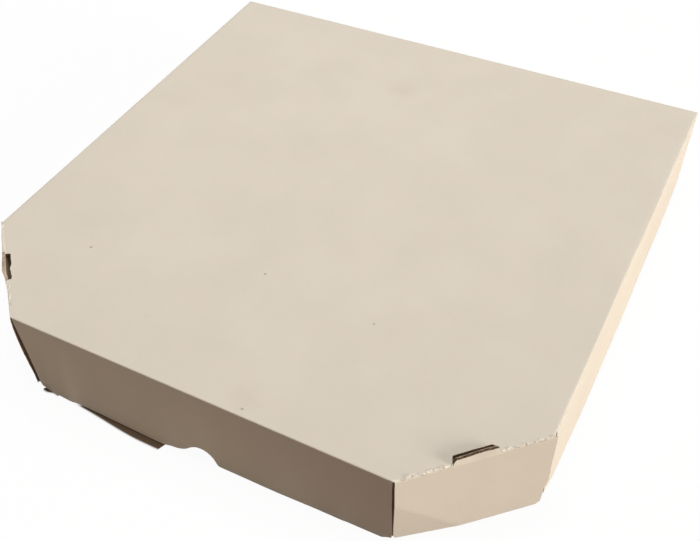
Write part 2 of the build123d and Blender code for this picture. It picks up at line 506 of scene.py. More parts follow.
def outer_liner(shader, colours):
    """Bleached liner: soft clouds, fibres, a few specks, handling marks and a painted shadow beside the
    right vent slot.
    """
    base = colours.outer
    clouds = shader.noise(22, 3, 0.55)
    patches = shader.noise(70, 2, 0.5, shift=(3, 1, 0))
    fibres = shader.noise(900, 3, 0.6, stretch=(0.35, 1, 1))
    grain = shader.noise(2600, 2, 0.6)
    pale = shade(base, (1.02, 1.02, 1.022))
    colour = shader.tint(clouds.over(0.3, 0.72), shade(base, (0.972, 0.970, 0.966)), pale)
    colour = shader.tint(patches.over(0.35, 0.75) * 0.5, colour, shade(base, (1.01, 0.995, 0.97)))
    colour = shader.tint(fibres.over(0.45, 0.8) * 0.28, colour, shade(base, (1.06, 1.06, 1.07)))
    colour = shader.tint(grain.over(0.55, 0.85) * 0.16, colour, shade(base, (0.86, 0.84, 0.80)))
    specks = shader.noise(520, 1, 0.4, shift=(0, 5, 2)).over(0.80, 0.83)
    colour = shader.tint(specks * 0.4, colour, shade(base, (0.62, 0.55, 0.46)))
    ragged = (shader.noise(140, 3, 0.6) - 0.5) * 0.012
    # Smudges, one of which is a painted shadow beside the right vent slot
    for place, size, depth in SMUDGES_AND_SHADE:
        mark = shader.near(place, size, ragged) * depth
        colour = shader.tint(mark, colour, shade(base, (0.80, 0.76, 0.70)))
    for place, size in DARK_SPECKS:
        colour = shader.tint(shader.near(place, size) * 0.8, colour, shade(base, (0.30, 0.27, 0.24)))
    x, y, z = shader.parts(shader.spot)
    past = past_corner(x, y, bpy.context.scene.pizza_sheet.bevel_leg)
    crease = past.over(-1.7 * MM, -0.7 * MM) * (1 - past.over(0.0, 0.3 * MM))
    crease = crease * z.over(TOP - 1.5 * MM, TOP - 0.6 * MM)
    colour = shader.tint(crease * patches.over(0.3, 0.6) * 0.8, colour, tuple(colours.torn))
    waves = y * (2 * math.pi / bpy.context.scene.pizza_flutes.pitch)
    normal = shader.bump(waves.sum("SINE", waves), 0.05, 0.02 * MM)
    normal = shader.bump(fibres + grain * 0.5, 0.25, 0.05 * MM, normal)
    shader.paper(colour, 0.62 + (clouds - 0.5) * 0.12, normal)


def kraft(shader, base, low, high):
    """Unbleached paper with long fibres and darker flecks, and its clouds and fibres."""
    clouds = shader.noise(30, 3, 0.6)
    fibres = shader.noise(700, 3, 0.65, stretch=(0.25, 1, 1))
    flecks = shader.noise(1500, 1, 0.5, shift=(1, 2, 3)).over(0.70, 0.78)
    colour = shader.tint(clouds.over(0.3, 0.7), shade(base, low), shade(base, high))
    colour = shader.tint(fibres.over(0.4, 0.8) * 0.4, colour, shade(base, (1.14, 1.16, 1.2)))
    colour = shader.tint(flecks * 0.4, colour, shade(base, (0.62, 0.58, 0.52)))
    return colour, clouds, fibres


def crushed(shader, base, dark, pale, roughness, painted_glow=None):
    """Thin paper crushed by the cut."""
    crush = shader.noise(900, 3, 0.6)
    colour = shader.tint(crush.over(0.3, 0.75), shade(base, dark), shade(base, pale))
    shader.paper(colour, roughness, shader.bump(crush, 0.4, 0.08 * MM), painted_glow)


def inner_liner(shader, colours):
    """Unbleached liner, with a faint painted glow."""
    colour, _, fibres = kraft(shader, colours.inner, 0.95, 1.04)
    shader.paper(colour, 0.72 + (fibres - 0.5) * 0.1, shader.bump(fibres, 0.3, 0.06 * MM), colours.through)


def cut_liner(shader, colours):
    """Cut edge of a liner: pale paper with crushed, darker stretches."""
    base = colours.cut
    crush = shader.noise(420, 3, 0.7)
    dots = shader.noise(1500, 2, 0.6, shift=(2, 0, 1))
    colour = shader.tint(crush.over(0.35, 0.7), shade(base, (0.72, 0.68, 0.62)), shade(base, 1.12))
    colour = shader.tint(dots.over(0.60, 0.72) * 0.7, colour, shade(base, (0.42, 0.36, 0.30)))
    shader.paper(colour, 0.8, shader.bump(dots, 0.5, 0.08 * MM))


def hollow_core(shader, colours):
    """The walls of the hollows behind the flutes, coloured dark as painted shade, with a painted glow."""
    crushed(shader, colours.core, 0.7, 1.3, 0.9, shade(colours.through, 1.5))


def flute_paper(shader, colours):
    """The wavy paper, darkened as painted shade of the cut edges, with a painted glow."""
    crushed(shader, colours.wave, (0.6, 0.56, 0.5), 1.35, 0.85, shade(colours.through, 1.5))


def break_shade(shader, colours):
    """Painted shade: dark pieces set in the breaks between the torn fibres."""
    grain = shader.noise(2400, 2, 0.6)
    colour = shader.tint(grain, shade(colours.outer, 0.62), shade(colours.outer, 0.8))
    shader.paper(colour, 0.9, shader.bump(grain, 0.4, 0.05 * MM))


def torn_liner(shader, colours):
    """Fibres torn up where the outer liner broke."""
    base = colours.torn
    fibres = shader.noise(2400, 3, 0.7)
    colour = shader.tint(fibres.over(0.35, 0.7), shade(base, (0.80, 0.76, 0.70)), shade(base, 1.08))
    shader.paper(colour, 0.85, shader.bump(fibres, 0.6, 0.1 * MM))


PAINTERS = {
    OUTER: outer_liner,
    INNER: inner_liner,
    CUT: cut_liner,
    CORE: hollow_core,
    WAVE: flute_paper,
    TORN: torn_liner,
    SLIT: break_shade,
}

# Marks on the outside: place, size and depth of smudges, and place and size of dark specks, in metres. The
# third smudge, beside the right vent slot, is a painted shadow of the tab.
SMUDGES_AND_SHADE = (
    ((-0.0117, 0.1012, 0.050), 0.013, 0.22), ((0.025, -0.143, 0.050), 0.011, 0.20),
    ((0.1160, -0.1310, 0.050), 0.008, 0.05), ((-0.122, 0.060, 0.050), 0.045, 0.10),
    ((0.085, -0.080, 0.050), 0.045, 0.08),
)
DARK_SPECKS = (
    ((-0.0973, -0.0957, 0.050), 0.0011), ((-0.0065, -0.0729, 0.050), 0.0010),
    ((0.0270, -0.1487, 0.050), 0.0010), ((0.0565, -0.0788, 0.050), 0.0008),
)


def bevel_frame(sheet, side):
    """Front end of a cut corner's crease, and its directions along it, to the back, and outwards."""
    start = Vector((side * (HALF_WIDTH - sheet.bevel_leg), -HALF_DEPTH, TOP))
    return start, Vector((side * HALF_ROOT, HALF_ROOT, 0)), Vector((side * HALF_ROOT, -HALF_ROOT, 0))


def lid_corners(sheet):
    """Corners of the lid, anticlockwise from the back left."""
    w, d, leg = HALF_WIDTH, HALF_DEPTH, sheet.bevel_leg
    return [Vector(c) for c in ((-w, d), (-w, leg - d), (leg - w, -d), (w - leg, -d), (w, leg - d), (w, d))]


def inset(corners, distance):
    """The same outline, drawn in by a distance."""
    n = len(corners)
    drawn = []
    for i in range(n):
        before = (corners[i] - corners[i - 1]).normalized()
        after = (corners[(i + 1) % n] - corners[i]).normalized()
        a, b = Vector((-before.y, before.x)), Vector((-after.y, after.x))
        drawn.append(corners[i] + (a + b) * distance / (1 + a.dot(b)))
    return drawn


def fold_drop(radius, gap):
    """Drop of a rounded fold at a distance inside its corner."""
    return radius - math.sqrt(max(radius ** 2 - max(radius - gap, 0.0) ** 2, 0.0))


class LidPanel(bpy.types.Operator):
    """Makes the lid: one flat panel with rounded folds and two vent slots"""

    bl_idname = "pizza_box.lid_panel"
    bl_label = "Lid panel"

    # Outline of each slot in mm: place along the crease, depth into the lid
    slots = {
        1: (
            (24.9, 0), (26.1, -2.4), (27.0, -4.6), (27.5, -4.85), (31.3, -4.8), (36.0, -4.95), (40.3, -4.85),
            (44.8, -4.95), (45.5, -4.4), (46.5, -3.4), (46.95, -2.3), (46.9, 0),
        ),
        -1: (
            (26.0, 0), (26.3, -1.6), (26.6, -2.9), (28.3, -3.18), (30.6, -3.1), (32.1, -3.15), (33.6, -2.92),
            (35.1, -3.0), (37.2, -3.55), (38.9, -3.62), (41.9, -3.5), (45.3, -3.65), (46.0, -2.7), (46.4, 0),
        ),
    }

    # Room without loose points round a slot, in mm: from and to along the crease, and depth into the lid
    slot_room = (24.2, 47.4, -5.4)

    # Dent beside the right slot, in mm: its middle, its reach along and across the crease, and its depth
    dent_middle = (23.5, -3.6)
    dent_reach = (3.5, 2.4)
    dent_depth = 0.06

    def execute(self, context):
        sheet = context.scene.pizza_sheet
        board = Board(context)
        corners = lid_corners(sheet)
        edge = sheet.fold_radius * (1 - HALF_ROOT) + sheet.mitre_gap
        outline = inset(corners, edge)
        step = 2.5 * MM
        rim = Rim()
        for i, start in enumerate(outline):
            end = outline[(i + 1) % len(outline)]
            if i in (1, 3):
                self.bevel_run(rim, sheet, i - 2, start, end, edge)
            else:
                rim.run([start, end], step, False)
        extra = []
        rounds = [sheet.fold_radius * (1 - math.sin(math.radians(a))) for a in (34, 22.5, 11, 0)]
        for gap in (*rounds, sheet.fold_radius + PAST_ROUNDING, *LID_ROWS):
            ring = inset(corners, gap)
            for a, b in zip(ring, ring[1:] + ring[:1]):
                extra += dense([a, b], step)[:-1]
        ways = [(b - a).normalized() for a, b in zip(corners, corners[1:] + corners[:1])]
        self.sides = [(a, Vector((-way.y, way.x))) for a, way in zip(corners, ways)]
        self.sheet = sheet
        self.shift = sheet.board + sheet.mitre_gap - edge
        board.panel(rim, self.place, [p for p in extra if not self.over_slot(sheet, p)])
        board.make("lid_panel", "lid", "lid")
        flutes(context, board, "lid_flutes", "lid")
        return {"FINISHED"}

    def bevel_run(self, rim, sheet, side, start, end, edge):
        """The crease of a cut corner, broken by its vent slot."""
        origin, along, out = bevel_frame(sheet, side)

        def plan(s, n):
            p = origin + along * s * MM + out * n * MM
            return Vector((p.x, p.y))

        cut = [plan(s, min(n, -edge / MM)) for s, n in self.slots[side]]
        if side == -1:
            cut.reverse()
        rim.run([start, cut[0]], 1.2 * MM, False)
        rim.run(cut, 0.8 * MM, True, ROOT_TWO)
        rim.run([cut[-1], end], 1.2 * MM, False)

    def over_slot(self, sheet, point):
        """Whether a point lies in a slot or close to it."""
        first, last, deep = (size * MM for size in self.slot_room)
        for side in (1, -1):
            origin, along, out = bevel_frame(sheet, side)
            to = point.to_3d() - origin
            to.z = 0
            if first < to.dot(along) < last and to.dot(out) > deep:
                return True
        return False

    def place(self, x, y, t):
        """The point at a place in the plan, with the bow of the creases; t runs through the board."""
        return self.flat_place(x, y, t) + self.bow(x, y)

    def bow(self, x, y):
        """Outward bow of a cut corner's crease, gone a little way into the lid."""
        side = 1 if x > 0 else -1
        origin, along, out = bevel_frame(self.sheet, side)
        to = Vector((x, y, TOP)) - origin
        near = smooth(-5 * MM, -0.8 * MM, to.dot(out))
        return out * follow(CREASE_BOWS[side], to.dot(along) / MM) * MM * near

    def flat_place(self, x, y, t):
        """The same point without the bow. The inner side is drawn in, so that the folds are mitred."""
        p = Vector((x, y))
        gaps = [(p - a).dot(n) for a, n in self.sides]
        gap = min(gaps)
        if t == 0:
            return Vector((x, y, TOP - fold_drop(self.sheet.fold_radius, gap) + self.relief(x, y, gap)))
        pushes = [self.shift * (1 - smooth(0.5 * MM, 4.0 * MM, g)) for g in gaps]
        order = sorted(range(len(gaps)), key=lambda i: -pushes[i])
        i, j = order[0], order[1]
        move = self.sides[i][1] * pushes[i]
        if 0 < pushes[j] > move.dot(self.sides[j][1]):
            both = self.sides[i][1].dot(self.sides[j][1])
            a = (pushes[i] - both * pushes[j]) / (1 - both ** 2)
            b = (pushes[j] - both * pushes[i]) / (1 - both ** 2)
            move = self.sides[i][1] * a + self.sides[j][1] * b
        inner = Vector((x + move.x, y + move.y, TOP - self.sheet.board + self.relief(x, y, gap)))
        return self.flat_place(x, y, 0).lerp(inner, t)

    def relief(self, x, y, gap):
        """Small unevenness of the top: soft waves, and a dent beside the right slot."""
        low = 0.10 * MM * noise.noise(Vector((x * 40, y * 40, 0.3))) * smooth(1.2 * MM, 8 * MM, gap)
        origin, along, out = bevel_frame(self.sheet, 1)
        to = Vector((x, y, TOP)) - origin
        away = [
            (place / MM - middle) / reach
            for place, middle, reach in zip((to.dot(along), to.dot(out)), self.dent_middle, self.dent_reach)
        ]
        dent = -self.dent_depth * MM * math.exp(-(away[0] ** 2 + away[1] ** 2))
        return low + dent * smooth(0.4 * MM, 2.0 * MM, gap)


class FlapShape:
    """Places the points of a flap that hangs from a fold of the lid."""

    # Places along the crease, in mm, over which the fold turns into the straight tab and back
    tab_start = (24.4, 25.6)
    tab_end = (46.7, 47.6)

    # Place along the fold, in mm, over which the bow at the front end fades
    bow_fade = (4, 26)

    def __init__(self, sheet, origin, along, lean, seed):
        self.sheet = sheet
        self.origin = origin
        self.along = along
        self.out = along.cross(UP)
        self.lean = lean
        self.seed = seed
        self.flip = 1
        self.tab = self.crease = self.bow = self.bend = None
        self.mitred_ends = ()
        self.fold_in = sheet.fold_radius * (1 - HALF_ROOT)
        self.arc_length = sheet.fold_radius * math.pi / 4
        self.drop = TOP - sheet.flap_foot

    def level(self, height):
        """A height above the table, as a place below the fold along the sheet."""
        return -(TOP - height - self.sheet.fold_radius + self.arc_length)

    def place(self, s, b, t):
        """The point at s along the fold and b up the sheet from it; t runs through the board."""
        sheet, radius = self.sheet, self.sheet.fold_radius
        down = -b
        square = self.straightness(s)
        if down <= 0:
            out, drop = -self.fold_in, self.fold_in + down
        elif down < self.arc_length:
            turn = math.pi / 4 + down / radius
            out, drop = radius * (math.sin(turn) - 1), radius * (1 - math.cos(turn))
        else:
            out, drop = 0.0, radius + down - self.arc_length
        out = out * (1 - square) + self.swing(s, drop, -down)
        push = (sheet.board - self.fold_in) * (1 - smooth(self.fold_in, 4 * MM, drop)) * (1 - square)
        inner_out = (out if down > self.arc_length else out * square) - sheet.board
        point_out = out + (inner_out - out) * t + self.pull(s, drop)
        for end, way in self.mitred_ends:
            s += way * t * MM * (1 - smooth(0, 3 * MM, abs(s - end)))
        return self.origin + self.along * s + self.out * point_out - UP * (drop + push * t + sheet.mitre_gap)

    def swing(self, s, drop, above):
        """How far the sheet stands out from its plane through lean, bow, ripple and the tab's own lean."""
        run = s * self.flip / MM
        deep = max(drop / self.drop, 0.0)
        out = follow(self.lean, run) * MM * (0.35 * deep + 0.65 * deep ** 2)
        ripple = noise.noise(Vector((s * 60, drop * 50, self.seed)))
        out += 0.10 * MM * ripple * smooth(1.5 * MM, 6 * MM, drop)
        if self.bow:
            out += follow(self.bow, drop / MM) * MM * (1 - smooth(*self.bow_fade, run))
        if self.bend:
            out -= self.bent_in(run, TOP / MM - drop / MM) * MM
        if self.tab and above > 0:
            out += follow(self.tab, run) * MM * (above / (4 * MM)) ** 1.2
        return out

    def bent_in(self, run, height):
        """How far the lower front corner is bent in."""
        rise, reach, slope = self.bend
        past = (1 - run / reach - height / rise) / math.hypot(1 / reach, 1 / rise)
        return slope * (max(past, 0.0) if abs(past) > 1 else (past + 1) ** 2 / 4)

    def bend_rows(self):
        """Points along both sides of the bend, so that it stays sharp."""
        rise, reach, _ = self.bend
        rows = []
        for side in (-1.1, -0.4, 0.4, 1.1):
            for k in range(1, 24):
                run = reach * k / 24 + side * 0.7
                height = rise * (1 - k / 24) + side * 0.7
                if run > 1.5 and height > self.sheet.flap_foot / MM + 1:
                    rows.append(Vector((run * MM, self.level(height * MM))))
        return rows

    def pull(self, s, drop):
        """Outward bow of the crease itself."""
        if self.crease is None:
            return 0.0
        return follow(self.crease, s * self.flip / MM) * MM * (1 - smooth(4 * MM, 30 * MM, drop))

    def straightness(self, s):
        """1 where the board stands straight up as a tab, 0 where it is folded over."""
        if self.tab is None:
            return 0.0
        run = s * self.flip / MM
        return smooth(*self.tab_start, run) * (1 - smooth(*self.tab_end, run))


class SideFlaps(bpy.types.Operator):
    """Makes the two side flaps, which lean out a little along their lower edges"""

    bl_idname = "pizza_box.side_flaps"
    bl_label = "Side flaps"

    def execute(self, context):
        sheet = context.scene.pizza_sheet
        for side, hand, lean in ((1, "right", RIGHT_SIDE_LEAN), (-1, "left", LEFT_SIDE_LEAN)):
            name = "side_flap_" + hand
            low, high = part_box(name)
            board = Board(context)
            origin = Vector((side * HALF_WIDTH, 0, TOP))
            shape = FlapShape(sheet, origin, Vector((0, side, 0)), lean, 3.1 + side)
            first, last = (low.y, high.y) if side == 1 else (-high.y, -low.y)
            foot = shape.level(sheet.flap_foot)
            rim = Rim()
            rim.run([(last, 0), (first, 0)], 3 * MM, False)
            rim.run([(first, 0), (first, foot)], 2 * MM, True, 0.0)
            rim.run([(first, foot), (last, foot)], 3 * MM, True, 1.0)
            rim.run([(last, foot), (last, 0)], 2 * MM, True, 0.0)
            board.panel(rim, shape.place, fold_rows(first, last, shape))
            board.make(name + "_panel", name, name)
            flutes(context, board, name + "_flutes", name)
        return {"FINISHED"}


def fold_rows(first, last, shape):
    """Rows of points that follow the rounding of a fold."""
    rows = []
    rounding = [shape.arc_length * k / 4 for k in (1, 2, 3, 4)]
    for down in (*rounding, shape.arc_length + PAST_ROUNDING, *FLAP_ROWS):
        for p in dense([(first, -down), (last, -down)], 3 * MM)[1:-1]:
            if p.x - first > 0.8 * MM and last - p.x > 0.8 * MM:
                rows.append(p)
    return rows


class FrontFlap(bpy.types.Operator):
    """Makes the front flap with its thumb notch and its uneven lower edge"""

    bl_idname = "pizza_box.front_flap"
    bl_label = "Front flap"

    # Edge of the thumb notch in mm: place along the flap, rise above the lower edge
    notch = (
        (-20.6, 0.0), (-19.4, 0.2), (-18.2, 0.5), (-17.1, 0.8), (-15.3, 1.15), (-13.5, 1.3), (-11.8, 1.55),
        (-10.0, 2.1), (-8.2, 2.8), (-6.4, 4.0), (-4.4, 5.9), (-2.5, 7.4), (-0.7, 8.4), (1.1, 8.9),
        (2.7, 8.9), (4.3, 8.5), (5.9, 7.7), (7.4, 6.4), (8.8, 4.5), (9.6, 3.0), (10.2, 1.5), (10.8, 0.5),
        (11.8, 0.0),
    )

    def execute(self, context):
        sheet = context.scene.pizza_sheet
        board = Board(context)
        shape = FlapShape(sheet, Vector((0, -HALF_DEPTH, TOP)), Vector((1, 0, 0)), FRONT_LEAN, 8.2)
        half = FRONT_HALF / MM
        foot = sheet.flap_foot / MM

        def at(s, z):
            return Vector((s * MM, shape.level(z * MM)))

        edge = [(-half + 3.6, foot + 3.6), (-half + 4.4, foot + 1.3), (-half + 6.6, foot)]
        edge += [(s, foot + rise) for s, rise in self.notch]
        worn = [(-4.5, 0), (-2.0, 1.6), (-0.2, 2.5), (0.3, 3.1)]
        edge += [(half + past, foot + rise) for past, rise in worn]
        lower = [at(s, z) for s, z in edge]
        rim = Rim()
        rim.run([(half * MM, 0), (-half * MM, 0)], 3 * MM, False)
        rim.run([(-half * MM, 0), lower[0]], 2 * MM, True, 1.0)
        rim.run(lower, 2.5 * MM, True, 0.0)
        end = [at(half + place, z) for place, z in ((0.4, 12), (0.05, 25), (-0.25, TOP / MM - 8))]
        rim.run([lower[-1], *end, (half * MM, 0)], 2 * MM, True, 1.0)
        shape.mitred_ends = ((half * MM, -0.6),)
        board.panel(rim, shape.place, fold_rows(-FRONT_HALF, FRONT_HALF, shape))
        board.make("front_flap_panel", "front_flap", "front_flap")
        flutes(context, board, "front_flap_flutes", "front_flap")
        return {"FINISHED"}


class BevelFlaps(bpy.types.Operator):
    """Makes the two corner flaps, each with the tab that stands up through its vent slot"""

    bl_idname = "pizza_box.bevel_flaps"
    bl_label = "Corner flaps"

    # Outline of each tab in mm: place along the crease, height above it
    tabs = {
        1: (
            (46.7, 0.0), (46.6, 0.9), (46.45, 1.9), (46.1, 2.7), (45.6, 3.2), (44.9, 3.4), (42.4, 3.4),
            (40.7, 3.65), (38.0, 3.65), (35.4, 3.5), (32.7, 3.3), (30.5, 3.05), (28.6, 3.1), (27.2, 3.1),
            (26.4, 2.5), (25.95, 1.7), (25.7, 0.8), (25.6, 0.0),
        ),
        -1: (
            (46.1, 0.0), (45.9, 1.3), (45.3, 2.3), (43.0, 2.7), (38.0, 2.8), (34.0, 2.75), (31.0, 2.3),
            (28.6, 1.4), (27.0, 0.5), (26.5, 0.0),
        ),
    }
    tab_lean = {1: ((26, -0.25), (47, -0.25)), -1: ((27, -0.3), (31, 0.1), (36, -0.5), (42, -1.0))}

    def execute(self, context):
        sheet = context.scene.pizza_sheet
        length = sheet.bevel_leg * ROOT_TWO / MM
        for side, hand, lean in ((1, "right", RIGHT_BEVEL_LEAN), (-1, "left", LEFT_BEVEL_LEAN)):
            name = "bevel_flap_" + hand
            origin, along, _ = bevel_frame(sheet, side)
            board = Board(context)
            shape = FlapShape(sheet, origin, along * side, lean, 5.5 * side)
            shape.flip = side
            shape.tab = self.tab_lean[side]
            shape.crease = CREASE_BOWS[side]
            shape.mitred_ends = ((side * 0.1 * MM, side * 0.6),)
            extra = [Vector((side * p.x, p.y)) for p in fold_rows(0.8 * MM, (length + 1.6) * MM, shape)]
            if side == 1:
                shape.bend = BEVEL_BEND
                extra += shape.bend_rows()
            else:
                shape.bow = LEFT_BEVEL_BOW
            board.panel(self.outline(sheet, shape, side, length), shape.place, extra)
            board.make(name + "_panel", name, name)
            flutes(context, board, name + "_flutes", name)
        return {"FINISHED"}

    def outline(self, sheet, shape, side, length):
        """The rim of a corner flap: its crease with the tab, its two ends and its lower edge."""
        end = length + sheet.bevel_overhang / MM
        foot = sheet.flap_foot / MM

        def at(s, z):
            return Vector((s * MM, shape.level(z * MM)))

        def above(s, h):
            return Vector((s * MM, h * MM + shape.fold_in if h > 0 else 0))

        front = [(0.1, TOP / MM - 5), (0.2, 30), (0.55, 12), (0.8, foot + 1.2)]
        if side == -1:
            front = [(0.2, TOP / MM - 5), (-0.2, 30), (-1.1, 12), (-2.0, foot + 0.6)]
        low = [at(front[-1][0] + 1.0, foot), at(length - 3.0, foot), at(length - 0.9, foot + 1.2)]
        back = [(length - 0.4, foot + 5), (length - 0.1, 11.8), (end - 0.45, 15.2), (end, 18)]
        right = [low[-1]] + [at(*place) for place in back] + [above(end, 0)]
        left = [above(0.15, 0)] + [at(*place) for place in front] + low[:1]
        tab = [above(s, h) for s, h in self.tabs[side]]
        runs = [
            ([above(end, 0), tab[0]], 1.2, None),
            (tab, 0.8, ROOT_TWO if side == 1 else None),
            ([tab[-1], left[0]], 1.2, None),
            *((line, 2.0, ROOT_TWO) for line in (left, low, right)),
        ]
        rim = Rim()
        for line, step, wave in runs[::side]:
            line = [Vector((side * p.x, p.y)) for p in line[::side]]
            rim.run(line, step * MM, wave is not None, wave)
        return rim


def node_tree(name, sockets):
    """An empty node group for a modifier, with its named inputs."""
    tree = bpy.data.node_groups.new(name, "GeometryNodeTree")
    for label, kind in {"Geometry": "Geometry", **sockets}.items():
        tree.interface.new_socket(label, in_out="INPUT", socket_type="NodeSocket" + kind)
    tree.interface.new_socket("Geometry", in_out="OUTPUT", socket_type="NodeSocketGeometry")
    return tree


class Recipe:
    """Writes a geometry tree node by node."""

    def __init__(self, tree):
        self.tree = tree
        self.given = tree.nodes.new("NodeGroupInput").outputs

    def add(self, kind, settings=None, values=None):
        """Any node: its settings first, then the values or links of its sockets. Gives its outputs."""
        made = self.tree.nodes.new(kind)
        for key, value in (settings or {}).items():
            setattr(made, key, value)
        for key, value in (values or {}).items():
            if isinstance(value, bpy.types.NodeSocket):
                self.tree.links.new(value, made.inputs[key])
            else:
                made.inputs[key].default_value = value
        return made.outputs

    def sum(self, operation, *values):
        """One Math node."""
        return self.add("ShaderNodeMath", {"operation": operation}, dict(enumerate(values)))[0]

    def scaled(self, vector, amount):
        return self.add("ShaderNodeVectorMath", {"operation": "SCALE"}, {0: vector, "Scale": amount})[0]

    def dot(self, a, b):
        return self.add("ShaderNodeVectorMath", {"operation": "DOT_PRODUCT"}, {0: a, 1: b})["Value"]

    def random(self, low, high, seed):
        """A random vector for each point."""
        values = {0: low, 1: high, "Seed": seed}
        return self.add("FunctionNodeRandomValue", {"data_type": "FLOAT_VECTOR"}, values)["Value"]

    def named(self, name, kind):
        """What the guide keeps at each point under a name."""
        return self.add("GeometryNodeInputNamedAttribute", {"data_type": kind}, {"Name": name})[0]

    def end(self, body, material):
        """Ends the tree in plain geometry with its material."""
        real = self.add("GeometryNodeRealizeInstances", None, {0: body})[0]
        done = self.add("GeometryNodeSetMaterial", None, {"Geometry": real, "Material": material})[0]
        out = self.tree.nodes.new("NodeGroupOutput")
        self.tree.links.new(done, out.inputs[0])


def flute_tree():
    """Turns wave lines into strips of wavy paper."""
    if "Fluting" in bpy.data.node_groups:
        return bpy.data.node_groups["Fluting"]
    numbers = dict.fromkeys(("Pitch", "Swing", "Paper", "Depth", "Sample"), "Float")
    tree = node_tree("Fluting", {**numbers, "Finish": "Material"})
    r = Recipe(tree)
    given = r.given
    line = r.add("GeometryNodeMeshToCurve", None, {0: given["Geometry"]})[0]
    values = {"Curve": line, "Length": given["Sample"]}
    line = r.add("GeometryNodeResampleCurve", {"mode": "LENGTH"}, values)[0]
    run = r.add("GeometryNodeSplineParameter")["Length"]
    length = r.sum("MULTIPLY", r.named("wave", "FLOAT"), given["Pitch"])
    turn = r.sum("DIVIDE", r.sum("MULTIPLY", run, 2 * math.pi), r.sum("MAXIMUM", length, 0.1 * MM))
    reach = r.sum("MULTIPLY", r.named("swing", "FLOAT"), given["Swing"])
    swing = r.sum("MULTIPLY", r.sum("SINE", turn), reach)
    values = {"Geometry": line, "Offset": r.scaled(r.named("across", "FLOAT_VECTOR"), swing)}
    line = r.add("GeometryNodeSetPosition", None, values)[0]
    values = {"Curve": line, "Normal": r.named("deep", "FLOAT_VECTOR")}
    line = r.add("GeometryNodeSetCurveNormal", {"mode": "FREE"}, values)[0]
    values = {"Width": given["Depth"], "Height": given["Paper"]}
    strip = r.add("GeometryNodeCurvePrimitiveQuadrilateral", {"mode": "RECTANGLE"}, values)[0]
    values = {"Curve": line, "Profile Curve": strip, "Fill Caps": True}
    r.end(r.add("GeometryNodeCurveToMesh", None, values)[0], given["Finish"])
    return tree


def baked(context, guide, tree, values, name, body):
    """Runs a geometry tree on a guide mesh and keeps the result as a plain piece."""
    holder = bpy.data.objects.new(name + "_guide", guide)
    context.scene.collection.objects.link(holder)
    modifier = holder.modifiers.new("Make", "NODES")
    modifier.node_group = tree
    for item in tree.interface.items_tree:
        if item.item_type == "SOCKET" and item.in_out == "INPUT" and item.name in values:
            modifier[item.identifier] = values[item.name]
    graph = context.evaluated_depsgraph_get()
    mesh = bpy.data.meshes.new_from_object(holder.evaluated_get(graph))
    holder.modifiers.clear()
    bpy.data.objects.remove(holder)
    mesh.name = name
    piece = bpy.data.objects.new(name, mesh)
    context.scene.collection.objects.link(piece)
    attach(piece, body)


def flutes(context, board, name, body):
    """The wavy paper in the cut edges of one panel."""
    sizes = context.scene.pizza_flutes
    sheet = context.scene.pizza_sheet
    guide = bpy.data.meshes.new(name + "_guide")
    points, sides, across, deep, wave, swing = [], [], [], [], [], []
    for line, waves in board.edges:
        sides += [(len(points) + i, len(points) + i + 1) for i in range(len(line) - 1)]
        for middle, over, into in line:
            points.append(middle)
            across.extend(over)
            deep.extend(into)
        # An edge along the flutes shows one flute cut at a slant, as a long and shallow wave
        wave += [waves or 6.5] * len(line)
        swing += [1.0 if waves else 0.3] * len(line)
    guide.from_pydata(points, sides, [])
    for label, kind, field, values in (
        ("across", "FLOAT_VECTOR", "vector", across), ("deep", "FLOAT_VECTOR", "vector", deep),
        ("wave", "FLOAT", "value", wave), ("swing", "FLOAT", "value", swing),
    ):
        guide.attributes.new(label, kind, "POINT").data.foreach_set(field, values)
    values = {
        "Pitch": sizes.pitch,
        "Swing": sheet.board / 2 - sheet.liner - sizes.paper / 2,
        "Paper": sizes.paper,
        "Depth": sizes.depth * 0.8,
        "Sample": sizes.sample,
        "Finish": finish(WAVE),
    }
    baked(context, guide, flute_tree(), values, name, body)


